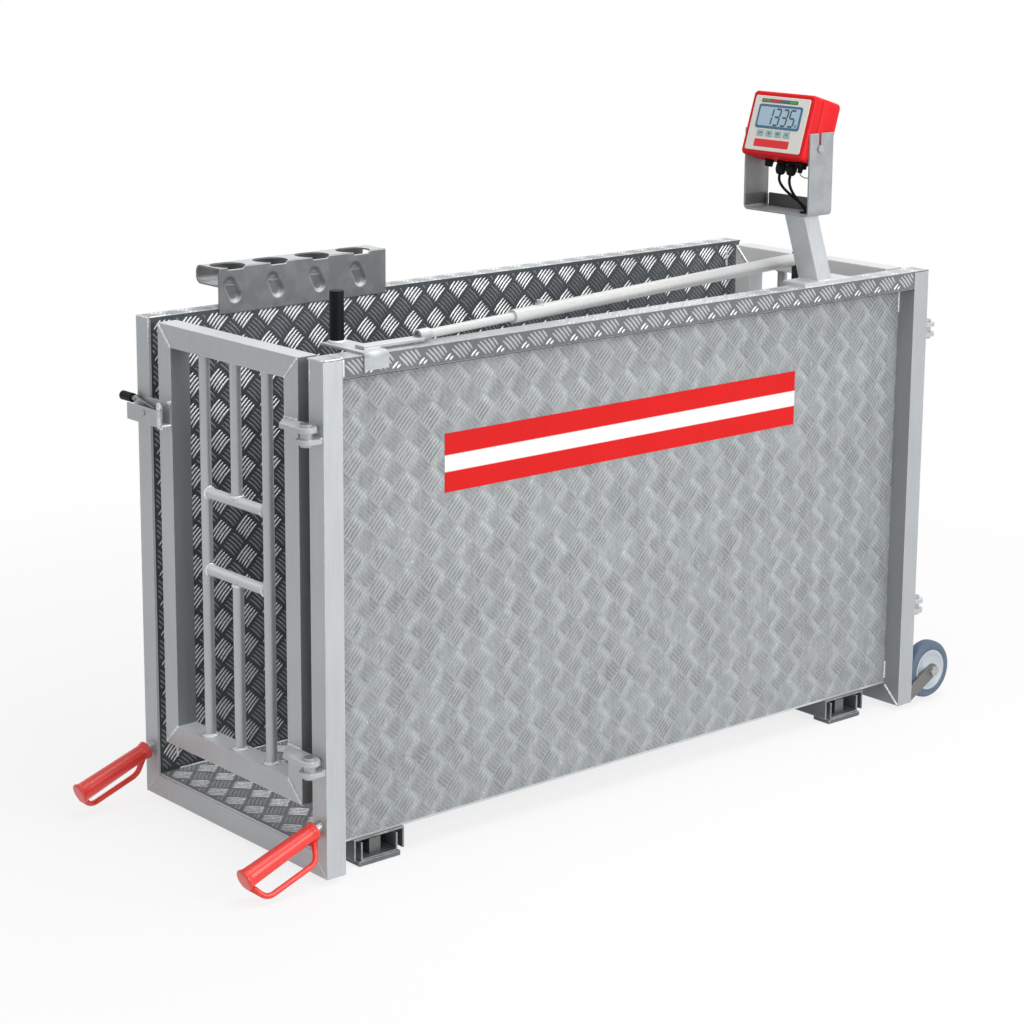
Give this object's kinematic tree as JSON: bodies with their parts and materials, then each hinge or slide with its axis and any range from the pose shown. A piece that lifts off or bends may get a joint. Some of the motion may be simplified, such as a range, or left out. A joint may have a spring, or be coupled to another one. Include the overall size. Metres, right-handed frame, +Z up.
{
  "type": "livestock weighing crate",
  "caption": "Walk-through livestock weighing crate: tread-plate walls and floor between tube end frames, barred gate at each end, carrying handles, wheels, marker rack and a tilting indicator.",
  "frame": {"origin": "centre of the bounding box at ground level, under the feet", "axes": "+X from the handle end to the wheel end, +Y from the banner side to the marker rack side, +Z up"},
  "size_m": [1.7944, 0.616, 1.2769],
  "materials": {
    "aluminium_sheet_and_tube": "satin mill finish",
    "galvanised_steel": "galvanised, dull",
    "zinc_plated_steel": "zinc plated",
    "nickel_plated_steel": "nickel plated",
    "dark_steel": "black satin paint",
    "white_painted_steel": "satin off-white paint",
    "red_plastic": "semi-gloss",
    "black_plastic": "matte",
    "grey_plastic": "matte",
    "light_grey_plastic": "matte",
    "black_rubber": "matte",
    "slate_tyre": "matte",
    "off_white_panel": "matte",
    "display_window": "glossy window",
    "key_rubber": "matte",
    "green_board": "satin",
    "red_decal": "satin film"
  },
  "bodies": {
    "crate": {"near_end_frame": "aluminium_sheet_and_tube", "far_end_frame": "aluminium_sheet_and_tube", "right_side_wall": "aluminium_sheet_and_tube", "left_side_wall": "aluminium_sheet_and_tube", "floor_plate": "aluminium_sheet_and_tube", "cross_channels": "galvanised_steel", "base_channels": "galvanised_steel", "load_cells": "nickel_plated_steel", "load_cell_bolts": "zinc_plated_steel", "foot_plates": "galvanised_steel", "junction_box": "grey_plastic", "load_cell_cables": "black_rubber", "signal_cable": "black_rubber", "wheel_brackets": "galvanised_steel", "wheel_axles": "zinc_plated_steel", "handle_stubs": "zinc_plated_steel", "right_grip": "red_plastic", "left_grip": "red_plastic", "hinge_post_plates": "aluminium_sheet_and_tube", "hinge_pins": "zinc_plated_steel", "latch_stud": "zinc_plated_steel", "marker_rack": "galvanised_steel", "mast": "aluminium_sheet_and_tube", "indicator_bracket": "galvanised_steel", "cable_grommet": "black_rubber", "indicator_leads": "black_rubber", "banner": "red_decal"},
    "front_gate": {"front_gate_frame": "aluminium_sheet_and_tube", "front_gate_bars": "aluminium_sheet_and_tube", "front_gate_straps": "aluminium_sheet_and_tube", "latch_bracket": "galvanised_steel", "latch_pivot": "zinc_plated_steel"},
    "front_latch": {"latch_lever": "zinc_plated_steel", "latch_grip": "black_plastic"},
    "rear_gate": {"rear_gate_frame": "aluminium_sheet_and_tube", "rear_gate_bars": "aluminium_sheet_and_tube", "rear_gate_straps": "aluminium_sheet_and_tube", "slot_plate": "galvanised_steel"},
    "slide": {"slide_saddle": "galvanised_steel", "slide_grip": "black_plastic", "slide_bar": "galvanised_steel", "push_rod": "white_painted_steel", "rod_tube": "white_painted_steel", "rod_clamp": "zinc_plated_steel", "drop_link": "dark_steel"},
    "right_wheel": {"right_tyre": "slate_tyre", "right_hub": "light_grey_plastic"},
    "left_wheel": {"left_tyre": "slate_tyre", "left_hub": "light_grey_plastic"},
    "indicator": {"indicator_front": "red_plastic", "indicator_back": "red_plastic", "indicator_panel": "off_white_panel", "display": "display_window", "circuit_board": "green_board", "cable_glands": "black_plastic", "tilt_screws": "zinc_plated_steel"},
    "button_1": {"key_1": "key_rubber"},
    "button_2": {"key_2": "key_rubber"},
    "button_3": {"key_3": "key_rubber"},
    "button_4": {"key_4": "key_rubber"}
  },
  "joints": [
    {"name": "front_gate_hinge", "type": "hinge", "parent": "crate", "child": "front_gate", "pos_m": [-0.75079, -0.266, 0.51], "axis": [0, 0, 1], "range_deg": [0, 110]},
    {"name": "front_latch_pivot", "type": "hinge", "parent": "front_gate", "child": "front_latch", "pos_m": [-0.74379, 0.216, 0.744], "axis": [1, 0, 0], "range_deg": [0, 60]},
    {"name": "rear_gate_hinge", "type": "hinge", "parent": "crate", "child": "rear_gate", "pos_m": [0.78921, -0.266, 0.51], "axis": [0, 0, -1], "range_deg": [0, 90]},
    {"name": "slide_travel", "type": "slide", "parent": "crate", "child": "slide", "axis": [1, 0, 0], "range_m": [0, 0.26]},
    {"name": "right_wheel_spin", "type": "hinge", "parent": "crate", "child": "right_wheel", "pos_m": [0.83721, -0.2625, 0.065], "axis": [0, 1, 0], "continuous": true},
    {"name": "left_wheel_spin", "type": "hinge", "parent": "crate", "child": "left_wheel", "pos_m": [0.83721, 0.2505, 0.065], "axis": [0, 1, 0], "continuous": true},
    {"name": "indicator_tilt", "type": "hinge", "parent": "crate", "child": "indicator", "pos_m": [0.42141, -0.22, 1.177], "axis": [0, 1, 0], "range_deg": [-30, 20], "deforming": ["indicator_leads"]},
    {"name": "key_1_press", "type": "slide", "parent": "indicator", "child": "button_1", "axis": [0.9563, 0, -0.2924], "range_m": [0, 0.0008], "stiffness_N_per_m": 500, "springref_m": -0.0006},
    {"name": "key_2_press", "type": "slide", "parent": "indicator", "child": "button_2", "axis": [0.9563, 0, -0.2924], "range_m": [0, 0.0008], "stiffness_N_per_m": 500, "springref_m": -0.0006},
    {"name": "key_3_press", "type": "slide", "parent": "indicator", "child": "button_3", "axis": [0.9563, 0, -0.2924], "range_m": [0, 0.0008], "stiffness_N_per_m": 500, "springref_m": -0.0006},
    {"name": "key_4_press", "type": "slide", "parent": "indicator", "child": "button_4", "axis": [0.9563, 0, -0.2924], "range_m": [0, 0.0008], "stiffness_N_per_m": 500, "springref_m": -0.0006}
  ],
  "couplings": [
    {"joint": "slide_travel", "follows": "rear_gate_hinge", "m_per_rad": 0.16552}
  ]
}
